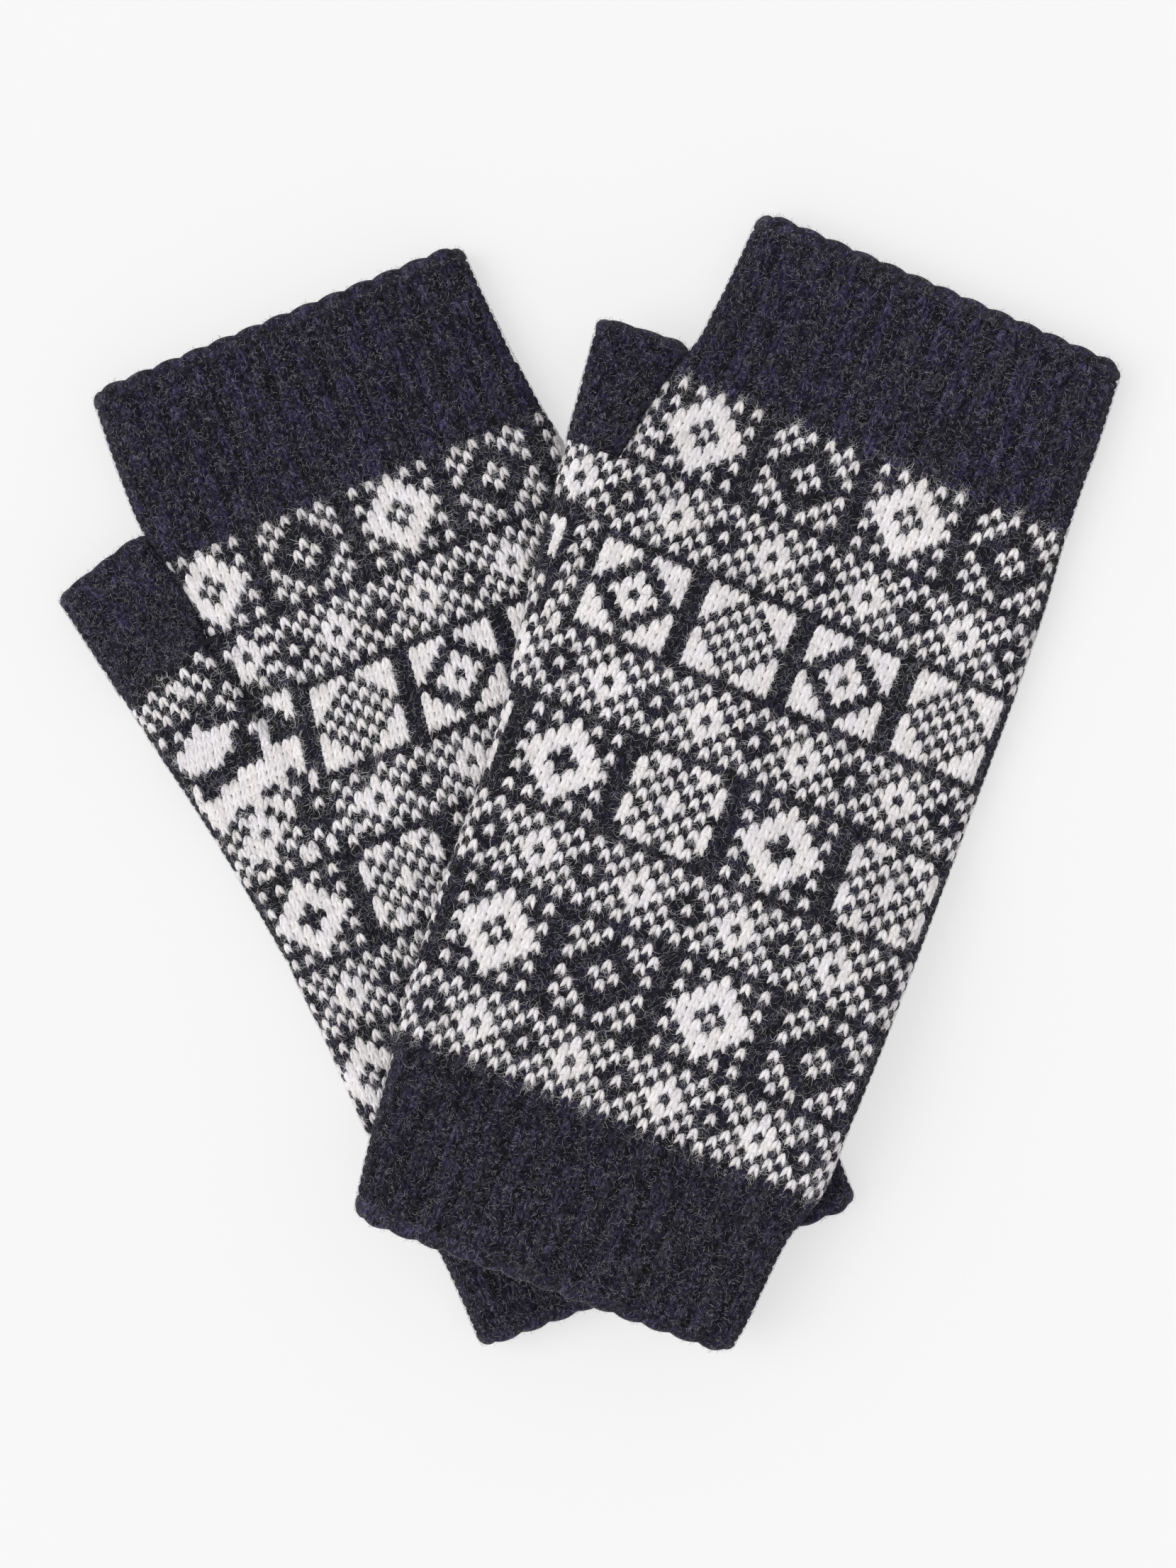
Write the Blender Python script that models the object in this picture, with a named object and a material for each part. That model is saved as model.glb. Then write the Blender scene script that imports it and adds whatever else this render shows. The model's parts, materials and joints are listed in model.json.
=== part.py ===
"""A pair of fingerless knitted gloves, lying flat and crossed, the right glove on top of the left one.

The left glove lies palm up on the table. The right glove lies back up, with its wrist on the left one, and
drapes from there down to the table. Each glove is a flattened tube: a patterned hand between two plain ribbed
bands with bound-off ends, and a plain thumb tube on a patterned gusset at the side.

The pair stands in a frame with +Z up, +Y towards the finger ends, and the origin under the pair's middle.
Within a glove, u runs across it and v along it towards the finger end.
"""

import math

import bmesh
import bpy
from mathutils import Vector

MM = 0.001

# The knitted fabric, flattened.
HAND_WALL = 2.3 * MM
RIB_WALL = 2.6 * MM
HAND_HEIGHT = 9.8 * MM
RIB_HEIGHT = 10.4 * MM
THUMB_WALL = 2.1 * MM
THUMB_HEIGHT = 10.6 * MM
CROWN = 0.6 * MM
RIM_LENGTH = 3.2 * MM
HEM_LENGTH = 3.8 * MM
HEM_EXTRA = 0.4 * MM

# The clearance between neighbouring parts.
GAP = 0.3 * MM

# The seam yarn: how far into the hand it runs, and how far it stops from the cut's lower and upper end.
SEAM_RADIUS = 0.5 * MM
SEAM_OFFSET = 1.2 * MM
SEAM_STOPS = (6 * MM, 8 * MM)

# How the upper glove lies over the lower one.
LIFT = 11.4 * MM
DRAPE_LENGTH = 60 * MM
LOWER_SIDE = 50 * MM
LOWER_END = 114 * MM

# The facets of the fabric.
ARC_STEPS = 5
STATION_STEP = {"left": 20 * MM, "right": 9 * MM}
FLAT_STEPS = {"left": 6, "right": 12}
THUMB_FLAT_STEPS = 3
THUMB_TUBE_STEPS = 3
HEM_STEPS = 2
RIM_STEPS = 3
SEAM_STEP = 8 * MM
SEAM_BEND_STEPS = 6
FOLD_SAMPLES = 12
SMOOTH_ANGLE = math.radians(50)

# A place well beside both gloves' thumbs, in a glove's own frame.
BESIDE = -80 * MM

PLACES = {
    "left": {"centre": (-25.71 * MM, -3.06 * MM), "turn": math.radians(22.1)},
    "right": {"centre": (32.19 * MM, 0.24 * MM), "turn": math.radians(-22.3)},
}

# Each outline is a few points (v, u) in millimetres, joined by a smooth line.
GLOVES = {
    "left": {
        "finger_end": 114.2 * MM,
        "wrist_end": (-114.0 * MM, -114.4 * MM),
        "hand": (-76.2 * MM, 73.0 * MM),
        "side": [(-114.4, 44.2), (-100, 45), (-76, 47.2), (-60, 49.2), (-30, 50.2), (20, 50),
                 (50, 49), (66, 47.8), (73, 46.8), (85, 45.4), (100, 44), (114.2, 43)],
        "thumb_side": [(-114, -43), (-100, -43.5), (-85, -44.6), (-76, -46.3), (-60, -49.3), (-40, -50),
                       (-22, -50.8), (0, -48.4), (30, -44.6), (54, -41.15), (73, -44.6),
                       (82, -45.2), (100, -45), (114.2, -44.4)],
        "gusset_side": [(-20, -51.3), (-10, -52.2), (0, -53.2), (10, -54.6), (20, -56.4), (35, -59.6),
                        (50, -63.1)],
        "cut": ((-35.3 * MM, 54.7 * MM), (-45.1 * MM, -20.0 * MM)),
        "thumb_root": ((-63.1 * MM, 49.7 * MM), (-41.6 * MM, 53.6 * MM)),
        "thumb_mouth": ((-68.0 * MM, 74.6 * MM), (-46.6 * MM, 81.3 * MM)),
    },
    "right": {
        "finger_end": 118.6 * MM,
        "wrist_end": (-119.4 * MM, -117.2 * MM),
        "hand": (-79.4 * MM, 79.0 * MM),
        "side": [(-118, 46.8), (-100, 48), (-88, 49.2), (-79, 51.4), (-60, 52.6), (-40, 52.6), (-10, 52),
                 (10, 51.3), (50, 49.5), (79, 47), (100, 45.6), (118.6, 44.2)],
        "thumb_side": [(-119.4, -41.6), (-103, -44.4), (-88, -46.4), (-79, -48), (-60, -50), (-45, -51),
                       (-22, -52), (0, -50.2), (30, -46.8), (56, -43.6), (79, -44.5),
                       (95, -43.6), (118.6, -42.2)],
        "gusset_side": [(-20, -52.5), (-10, -53.1), (0, -54.3), (20, -57.3), (40, -60.4), (55, -62.3)],
        "cut": ((-37.9 * MM, 56.3 * MM), (-46.3 * MM, -20.0 * MM)),
        "thumb_root": ((-62.3 * MM, 54.8 * MM), (-44.1 * MM, 55.5 * MM)),
        "thumb_mouth": ((-66.2 * MM, 82.6 * MM), (-45.2 * MM, 85.0 * MM)),
    },
}

COLOURS = {
    "ribbing": (0.030, 0.031, 0.045),
    "patterned_knit": (0.27, 0.27, 0.29),
    "plain_knit": (0.028, 0.029, 0.040),
    "edging": (0.024, 0.025, 0.034),
    "seam_yarn": (0.020, 0.021, 0.028),
}
WOOL_ROUGHNESS = 0.95


def clear_scene():
    for obj in list(bpy.data.objects):
        bpy.data.objects.remove(obj)


def wool(name, colour):
    material = bpy.data.materials.new(name)
    material.use_nodes = True
    shader = material.node_tree.nodes["Principled BSDF"]
    shader.inputs["Base Color"].default_value = (*colour, 1)
    shader.inputs["Roughness"].default_value = WOOL_ROUGHNESS
    shader.inputs["Metallic"].default_value = 0
    material.diffuse_color = (*colour, 1)
    return material


def along(outline, v):
    """The smooth line through an outline's points (v, u) in millimetres, read at v in metres."""
    at = v / MM
    last = len(outline) - 2
    i = next((k for k in range(last) if at < outline[k + 1][0]), last)
    slopes = []
    for k in (i, i + 1):
        low, high = outline[max(k - 1, 0)], outline[min(k + 1, last + 1)]
        slopes.append((high[1] - low[1]) / (high[0] - low[0]))
    (v0, u0), (v1, u1) = outline[i], outline[i + 1]
    span = v1 - v0
    t = min(max((at - v0) / span, 0), 1)
    value = (
        u0 * (1 + 2 * t) * (1 - t) ** 2
        + slopes[0] * span * t * (1 - t) ** 2
        + u1 * t * t * (3 - 2 * t)
        - slopes[1] * span * t * t * (1 - t)
    )
    return value * MM


def turned(point, angle):
    c, s = math.cos(angle), math.sin(angle)
    return point[0] * c - point[1] * s, point[0] * s + point[1] * c


def to_pair(side, u, v):
    """A glove's point in the pair's frame, seen from above."""
    x, y = turned((u, v), PLACES[side]["turn"])
    return x + PLACES[side]["centre"][0], y + PLACES[side]["centre"][1]


def to_glove(side, x, y):
    dx, dy = x - PLACES[side]["centre"][0], y - PLACES[side]["centre"][1]
    return turned((dx, dy), -PLACES[side]["turn"])


def held_up(beyond):
    """The share of the full lift that is left this far beyond an edge of the lower glove."""
    t = min(max(beyond / DRAPE_LENGTH, 0), 1)
    return 1 - t * t * (3 - 2 * t)


def lift(side, u, v):
    """How far the glove's underside lies above the table at one of its points."""
    if side == "left":
        return 0.0
    across, length = to_glove("left", *to_pair("right", u, v))
    return (
        LIFT
        * held_up(across - LOWER_SIDE)
        * held_up(-across - LOWER_SIDE)
        * held_up(-length - LOWER_END)
    )


def fold(centre, half, first_angle):
    """Points on a half circle, without its last one."""
    angles = (first_angle + math.pi * i / ARC_STEPS for i in range(ARC_STEPS))
    return [(centre[0] + half * math.cos(a), centre[1] + half * math.sin(a)) for a in angles]


def section(left, right, low, high, crown, flat_steps):
    """Points (u, z) round a flattened tube: flat below, crowned above, folded round at both sides."""
    half, middle = (high - low) / 2, (high + low) / 2
    start, end = left + half, right - half
    shares = [i / flat_steps for i in range(flat_steps)]
    under = [(start + (end - start) * f, low) for f in shares]
    over = [(end + (start - end) * f, high + crown * (1 - (2 * f - 1) ** 2)) for f in shares]
    return (
        under
        + fold((end, middle), half, -math.pi / 2)
        + over
        + fold((start, middle), half, math.pi / 2)
    )


def open_section(left, cut, low, high, flat_steps):
    """Points (u, z) along one wall face of a tube that is open where it meets the cut."""
    half, middle = (high - low) / 2, (high + low) / 2
    start = left + half
    shares = [i / flat_steps for i in range(flat_steps)]
    over = [(cut + (start - cut) * f, high) for f in shares]
    under = [(start + (cut - start) * f, low) for f in shares[1:] + [1]]
    return over + fold((start, middle), half, math.pi / 2) + [(start, low)] + under


def placed(side, points, left, right):
    """A section's points as (u, v, z), on the straight line from left to right, and draped."""
    slope = (right[1] - left[1]) / (right[0] - left[0])
    out = []
    for u, z in points:
        v = left[1] + (u - left[0]) * slope
        out.append(Vector((u, v, z + lift(side, u, v))))
    return out


def strip(bm, first, second, closed):
    """A row of faces between two rings of the same number of points."""
    count = len(first) if closed else len(first) - 1
    for i in range(count):
        j = (i + 1) % len(first)
        bm.faces.new((first[i], first[j], second[j], second[i]))


def walled(outer, inner, closed):
    """A wall between two lists of rings. An open one is closed along its two long edges."""
    bm = bmesh.new()
    outer = [[bm.verts.new(p) for p in ring] for ring in outer]
    inner = [[bm.verts.new(p) for p in ring] for ring in inner]
    for rings in (outer, inner):
        for first, second in zip(rings, rings[1:]):
            strip(bm, first, second, closed)
    for end in (0, -1):
        strip(bm, outer[end], inner[end], closed)
    if not closed:
        for edge in (0, -1):
            strip(bm, [ring[edge] for ring in outer], [ring[edge] for ring in inner], False)
    bmesh.ops.recalc_face_normals(bm, faces=bm.faces)
    return bm


def add_piece(name, bm, material, parent):
    """A sub-part from a mesh in its glove's frame, held by an empty in the same frame."""
    offset = Vector(parent["in_glove"])
    bmesh.ops.translate(bm, verts=bm.verts, vec=-offset)
    mesh = bpy.data.meshes.new(name)
    bm.to_mesh(mesh)
    bm.free()
    mesh.shade_smooth()
    mesh.set_sharp_from_angle(angle=SMOOTH_ANGLE)
    obj = bpy.data.objects.new(name, mesh)
    obj.data.materials.append(material)
    bpy.context.collection.objects.link(obj)
    obj.parent = parent
    return obj


def add_empty(name, location, turn=0.0, parent=None, in_glove=(0, 0, 0)):
    """An empty that remembers where it stands in its glove's frame."""
    empty = bpy.data.objects.new(name, None)
    empty.location = location
    empty.rotation_euler = (0, 0, turn)
    empty["in_glove"] = in_glove
    bpy.context.collection.objects.link(empty)
    empty.parent = parent
    return empty


def spaced(start, end, step):
    """Places from start to end, about a step apart."""
    count = max(1, round(abs(end - start) / step))
    return [start + (end - start) * i / count for i in range(count + 1)]


def between(a, b, share):
    return tuple(p + (q - p) * share for p, q in zip(a, b))


def tube_between(side, stations, wall, height, flat_steps):
    """A flattened tube through stations, each a left and a right point (u, v) on its outer folds."""
    outer, inner = [], []
    for left, right in stations:
        ring = section(left[0], right[0], 0, height, CROWN, flat_steps)
        outer.append(placed(side, ring, left, right))
        ring = section(left[0] + wall, right[0] - wall, wall, height - wall, CROWN, flat_steps)
        inner.append(placed(side, ring, left, right))
    return walled(outer, inner, closed=True)


def across(glove, ends, inset=0.0):
    """The outline's left and right point at a place along the glove. ends is its v on either side."""
    v_left, v_right = ends
    return (
        (along(glove["thumb_side"], v_left) + inset, v_left),
        (along(glove["side"], v_right) - inset, v_right),
    )


def band(side, start, end, wall, height):
    """A length of the main tube. start and end are a pair of v, as an end can run at a slant."""
    places = spaced(start[0], end[0], STATION_STEP[side])
    stations = []
    for i, v_left in enumerate(places):
        v_right = start[1] + (end[1] - start[1]) * i / (len(places) - 1)
        stations.append(across(GLOVES[side], (v_left, v_right)))
    return tube_between(side, stations, wall, height, FLAT_STEPS[side])


def rim(side, start, outwards):
    """The bound-off end of a rib, rounded at its corners. start is its inner end as a pair of v."""
    stations = []
    for i in range(RIM_STEPS + 1):
        angle = math.pi / 2 * i / RIM_STEPS
        forward = outwards * RIM_LENGTH * math.sin(angle)
        inset = RIM_LENGTH * (1 - math.cos(angle))
        stations.append(across(GLOVES[side], (start[0] + forward, start[1] + forward), inset))
    return tube_between(side, stations, RIB_WALL, RIB_HEIGHT, FLAT_STEPS[side])


def thumb_stations(glove, first, last, steps, extra=0.0):
    """Stations along the thumb from one share of its length to another."""
    stations = []
    for i in range(steps + 1):
        share = first + (last - first) * i / steps
        left = between(glove["thumb_root"][0], glove["thumb_mouth"][0], share)
        right = between(glove["thumb_root"][1], glove["thumb_mouth"][1], share)
        stations.append(((left[0] - extra, left[1]), right))
    return stations


def cut_at(glove, v):
    """Where the hand's wall is cut away for the gusset, at v."""
    (u_top, v_top), (u_low, v_low) = glove["cut"]
    return u_low + (u_top - u_low) * (v - v_low) / (v_top - v_low)


def root_v(glove, u):
    """The thumb's root line, which also ends the gusset and the hand's side opening."""
    left, right = glove["thumb_root"]
    return left[1] + (u - left[0]) * (right[1] - left[1]) / (right[0] - left[0])


def gusset(side):
    """The patterned wedge that widens the hand towards the thumb. It is open towards the hand."""
    glove = GLOVES[side]
    bottom = glove["cut"][1][1] + GAP / 2
    top = glove["thumb_root"][0][1] - GAP / 2
    top_at_cut = root_v(glove, cut_at(glove, top) - GAP) - GAP / 2
    places = spaced(bottom, top, STATION_STEP["right"])
    outer, inner = [], []
    for i, v_left in enumerate(places):
        v_cut = bottom + (top_at_cut - bottom) * i / (len(places) - 1)
        left = (along(glove["gusset_side"], v_left), v_left)
        right = (cut_at(glove, v_cut) - GAP, v_cut)
        face = open_section(left[0], right[0], 0, HAND_HEIGHT, THUMB_FLAT_STEPS)
        outer.append(placed(side, face, left, right))
        start = left[0] + HAND_WALL
        face = open_section(start, right[0], HAND_WALL, HAND_HEIGHT - HAND_WALL, THUMB_FLAT_STEPS)
        inner.append(placed(side, face, left, right))
    return walled(outer, inner, closed=False)


def window_cutter(side, place):
    """The block that opens the hand's side towards the gusset."""
    glove = GLOVES[side]
    above = LIFT + 2 * RIB_HEIGHT
    (u_top, _), (u_low, v_low) = glove["cut"]
    plan = [
        (BESIDE, root_v(glove, BESIDE) + GAP / 2),
        (BESIDE, v_low - GAP / 2),
        (u_low, v_low - GAP / 2),
        (cut_at(glove, root_v(glove, u_top)), root_v(glove, u_top) + GAP / 2),
    ]
    bm = bmesh.new()
    face = bm.faces.new([bm.verts.new((u, v, -RIB_HEIGHT)) for u, v in plan])
    pulled = bmesh.ops.extrude_face_region(bm, geom=[face])["geom"]
    top = [v for v in pulled if isinstance(v, bmesh.types.BMVert)]
    bmesh.ops.translate(bm, verts=top, vec=(0, 0, above + RIB_HEIGHT))
    bmesh.ops.recalc_face_normals(bm, faces=bm.faces)
    mesh = bpy.data.meshes.new(side + "_window_cutter")
    bm.to_mesh(mesh)
    bm.free()
    cutter = bpy.data.objects.new(side + "_window_cutter", mesh)
    bpy.context.collection.objects.link(cutter)
    cutter.parent = place
    cutter.hide_render = True
    cutter.display_type = "WIRE"
    return cutter


def hand(side, place, material):
    """The patterned tube, cut away at the side for the gusset."""
    low, high = GLOVES[side]["hand"]
    tube = band(side, (low, low), (high, high), HAND_WALL, HAND_HEIGHT)
    obj = add_piece(side + "_glove_hand", tube, material, place)
    window = obj.modifiers.new("thumb_window", "BOOLEAN")
    window.operation = "DIFFERENCE"
    window.object = window_cutter(side, place)
    return obj


def seam(side, place, material):
    """The linking yarn inside the joint of gusset and hand: below, round the crotch, and back above."""
    glove = GLOVES[side]
    low = HAND_WALL + GAP + SEAM_RADIUS
    high = HAND_HEIGHT - low
    half, middle = (high - low) / 2, (low + high) / 2
    (_, v_top), (_, v_low) = glove["cut"]
    places = spaced(v_low + SEAM_STOPS[0], v_top - SEAM_STOPS[1], SEAM_STEP)
    run = [(cut_at(glove, v) + SEAM_OFFSET, v) for v in places]
    end_u, end_v = run[-1]
    bend = []
    for i in range(1, SEAM_BEND_STEPS):
        angle = math.pi * i / SEAM_BEND_STEPS - math.pi / 2
        bend.append((end_u, end_v + half * math.cos(angle), middle + half * math.sin(angle)))
    path = [(u, v, low) for u, v in run] + bend + [(u, v, high) for u, v in reversed(run)]
    name = side + "_glove_thumb_seam"
    curve = bpy.data.curves.new(name, "CURVE")
    curve.dimensions = "3D"
    curve.bevel_depth = SEAM_RADIUS
    curve.bevel_resolution = 1
    curve.use_fill_caps = True
    spline = curve.splines.new("POLY")
    spline.points.add(len(path) - 1)
    for point, (u, v, z) in zip(spline.points, path):
        point.co = (u, v, z + lift(side, u, v), 1)
    curve.materials.append(material)
    obj = bpy.data.objects.new(name, curve)
    bpy.context.collection.objects.link(obj)
    obj.parent = place
    return obj


def fold_axis(side, line, height):
    """Two points (u, v, z) on the axis of a fold: the straight line that rests on the skin along it."""
    ends = [(*point, height + CROWN + lift(side, *point)) for point in line]
    on_line = [between(*ends, i / FOLD_SAMPLES) for i in range(FOLD_SAMPLES + 1)]
    bulge = max(height + CROWN + lift(side, u, v) - z for u, v, z in on_line)
    return [(u, v, z + bulge) for u, v, z in ends]


def pivot_on(side, name, place, line, height):
    """An empty in the middle of a fold's axis."""
    point = between(*fold_axis(side, line, height), 0.5)
    return add_empty(side + "_" + name, point, parent=place, in_glove=point)


def add_glove(side, materials):
    """One glove's nine parts. Those that fold hang on a pivot, and the others on the glove's place."""
    glove = GLOVES[side]
    centre, turn = PLACES[side]["centre"], PLACES[side]["turn"]
    place = add_empty(side + "_glove_place", (*centre, 0), turn)

    hand_low, hand_high = glove["hand"]
    finger_line = across(glove, (hand_high + GAP / 2, hand_high + GAP / 2))
    finger_pivot = pivot_on(side, "finger_fold", place, finger_line, RIB_HEIGHT)
    thumb_pivot = pivot_on(side, "thumb_fold", place, glove["thumb_root"], THUMB_HEIGHT)
    wrist_line = across(glove, (hand_low - GAP / 2, hand_low - GAP / 2))
    wrist_holder = place if side == "left" else pivot_on(side, "wrist_fold", place, wrist_line, RIB_HEIGHT)

    hand(side, place, materials["patterned_knit"])
    add_piece(side + "_glove_thumb_gusset", gusset(side), materials["patterned_knit"], place)
    seam(side, place, materials["seam_yarn"])

    rib_top = glove["finger_end"] - RIM_LENGTH
    rib_start, rib_end = hand_high + GAP, rib_top - GAP
    finger_rib = band(side, (rib_start, rib_start), (rib_end, rib_end), RIB_WALL, RIB_HEIGHT)
    add_piece(side + "_glove_finger_rib", finger_rib, materials["ribbing"], finger_pivot)
    finger_rim = rim(side, (rib_top, rib_top), outwards=1)
    add_piece(side + "_glove_finger_bind_off", finger_rim, materials["edging"], finger_pivot)

    rib_low = tuple(v + RIM_LENGTH for v in glove["wrist_end"])
    rib_end = tuple(v + GAP for v in rib_low)
    wrist_rib = band(side, (hand_low - GAP, hand_low - GAP), rib_end, RIB_WALL, RIB_HEIGHT)
    add_piece(side + "_glove_wrist_rib", wrist_rib, materials["ribbing"], wrist_holder)
    wrist_rim = rim(side, rib_low, outwards=-1)
    add_piece(side + "_glove_wrist_bind_off", wrist_rim, materials["edging"], wrist_holder)

    thumb_length = glove["thumb_mouth"][1][1] - glove["thumb_root"][1][1]
    root_share = GAP / 2 / thumb_length
    hem_share = 1 - HEM_LENGTH / thumb_length
    stations = thumb_stations(glove, root_share, hem_share - GAP / thumb_length, THUMB_TUBE_STEPS)
    tube = tube_between(side, stations, THUMB_WALL, THUMB_HEIGHT, THUMB_FLAT_STEPS)
    add_piece(side + "_glove_thumb_tube", tube, materials["plain_knit"], thumb_pivot)
    stations = thumb_stations(glove, hem_share, 1, HEM_STEPS, HEM_EXTRA)
    hem = tube_between(side, stations, THUMB_WALL, THUMB_HEIGHT, THUMB_FLAT_STEPS)
    add_piece(side + "_glove_thumb_hem", hem, materials["edging"], thumb_pivot)


def main():
    clear_scene()
    materials = {name: wool(name, colour) for name, colour in COLOURS.items()}
    for side in GLOVES:
        add_glove(side, materials)


main()
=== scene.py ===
"""A pair of fingerless gloves in brushed wool, with every stitch of the knitting modelled.

Each glove is a set of flattened tubes: a two-colour patterned hand, ribbed bands at the fingers and the
wrist, and a plain thumb. A thin lining of felted wool carries two leaf-shaped legs for each stitch, and fine
hairs stand out of them. Lengths are in millimetres here and become metres when a mesh is made. Within a
glove, u runs across it and v along it towards the finger end.
"""

import json
import math

import bpy
import numpy as np
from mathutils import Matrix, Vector


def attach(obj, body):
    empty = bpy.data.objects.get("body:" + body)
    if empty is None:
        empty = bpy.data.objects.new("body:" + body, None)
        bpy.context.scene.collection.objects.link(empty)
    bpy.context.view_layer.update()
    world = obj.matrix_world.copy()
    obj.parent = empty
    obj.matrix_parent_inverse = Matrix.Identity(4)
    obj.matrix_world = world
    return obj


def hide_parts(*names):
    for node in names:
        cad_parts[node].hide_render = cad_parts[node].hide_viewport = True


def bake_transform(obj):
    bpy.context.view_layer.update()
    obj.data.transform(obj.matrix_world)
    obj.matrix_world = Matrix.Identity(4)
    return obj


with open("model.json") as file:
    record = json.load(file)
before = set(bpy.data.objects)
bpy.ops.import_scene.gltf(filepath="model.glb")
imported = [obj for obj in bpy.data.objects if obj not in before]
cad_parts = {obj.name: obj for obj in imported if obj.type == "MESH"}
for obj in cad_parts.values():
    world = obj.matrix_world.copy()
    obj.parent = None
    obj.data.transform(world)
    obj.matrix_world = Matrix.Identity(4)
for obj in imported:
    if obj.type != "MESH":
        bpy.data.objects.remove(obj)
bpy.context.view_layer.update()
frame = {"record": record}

MM = 0.001
SIDES = ("left", "right")
FACES = ("upper", "under")
JOINTS = {joint["name"]: joint for joint in frame["record"]["behaviour"]["joints"]}

# The tubes' cross-section.
HAND_HEIGHT = 9.8
RIB_HEIGHT = 10.4
THUMB_HEIGHT = 10.0
CROWN = 0.6
SKIN_DEPTH = 0.75
LINING = 1.3

# How far a lining stops short of a mouth, in millimetres. The thumb's ends at this share of its length.
LINING_SHORT = 2
THUMB_LINING_END = 0.93

# How the right glove lies over the left one.
LIFT = 11.4
DRAPE_LENGTH = 60
LOWER_SIDE = 50
LOWER_END = 114

GUSSET_START = -18
CREASE_DEPTH = 2.4
CREASE_WIDTH = 1.5

# The linking yarn inside the thumb gusset.
PLY_RADIUS = 0.3
PLY_SIDES = 8
SEAM_STEPS = 240
SEAM_TURNS = 30
SEAM_INSET = 1.5

# The ribs make a mouth's edge wavy, and its corners are round.
RIB_PITCH = 6.5
SCALLOP = 0.65
CORNER_DROP = 2.1
THUMB_CORNER_DROP = 1.0
EASE_LENGTH = 8
RIM_COVER = 2.9
RIM_SHAPE = [(-3.4, -0.75), (-2.5, -0.12), (-1.6, 0.05), (-0.8, -0.02), (-0.25, -0.32), (0, -0.75),
             (-0.2, -1.2), (-0.7, -1.5), (-2.0, -1.7), (-3.4, -1.75)]

# One motif of each square band, from the finger end: o is white. Two dark stitches part the squares.
RING_SQUARE = ["o.o.o.o.o", "...ooo...", "o.ooooo.o", ".ooo.ooo.", "ooo.o.ooo",
               ".ooo.ooo.", "o.ooooo.o", "...ooo...", "o.o.o.o.o"]
DARK_SQUARE = [".o.o.o.o.", "o.o...o.o", ".o.....o.", "o...o...o", "...o.o...",
               "o...o...o", ".o.....o.", "o.o...o.o", ".o.o.o.o."]
WEDGE_SQUARE = ["oooo.oooo", "ooo...ooo", "oo..o..oo", "o..ooo..o", "..oo.oo..",
                "o..ooo..o", "oo..o..oo", "ooo...ooo", "oooo.oooo"]
CHECK_SQUARE = ["oooo.oooo", "ooo.o.ooo", "oo.o.o.oo", "o.o.o.o.o", ".o.o.o.o.",
                "o.o.o.o.o", "oo.o.o.oo", "ooo.o.ooo", "oooo.oooo"]
CROSS_SQUARE = ["o.o.o.o.o", "...ooo...", "o.ooooo.o", ".ooo.ooo.", "ooo...ooo",
                ".ooo.ooo.", "o.ooooo.o", "...ooo...", "o.o.o.o.o"]
DOTTED_SQUARE = [".ooo.ooo.", "o.o.o.o.o", "oo.o.o.oo", "o.o.o.o.o", ".o.ooo.o.",
                 "o.o.o.o.o", "oo.o.o.oo", "o.o.o.o.o", ".ooo.ooo."]
LATTICE = [".o.o.o.o.o", "o.o.o.o.o.", "oo.o...o.o", ".oo..o..oo",
           "oo.o...o.o", "o.o.o.o.o.", ".o.o.o.o.o"]
LATTICE_SHIFT = 5


def squares(first, second):
    return [a + ".." + b + ".." for a, b in zip(first, second)]


PLAIN_ROW = ["."]
CHART = []
for band in (squares(RING_SQUARE, DARK_SQUARE), LATTICE, squares(WEDGE_SQUARE, CHECK_SQUARE), LATTICE,
             squares(CROSS_SQUARE, DOTTED_SQUARE), LATTICE, squares(RING_SQUARE, DARK_SQUARE), LATTICE):
    CHART += band + PLAIN_ROW
CHART.pop()
CHART_MIDDLE = 20.5

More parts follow.
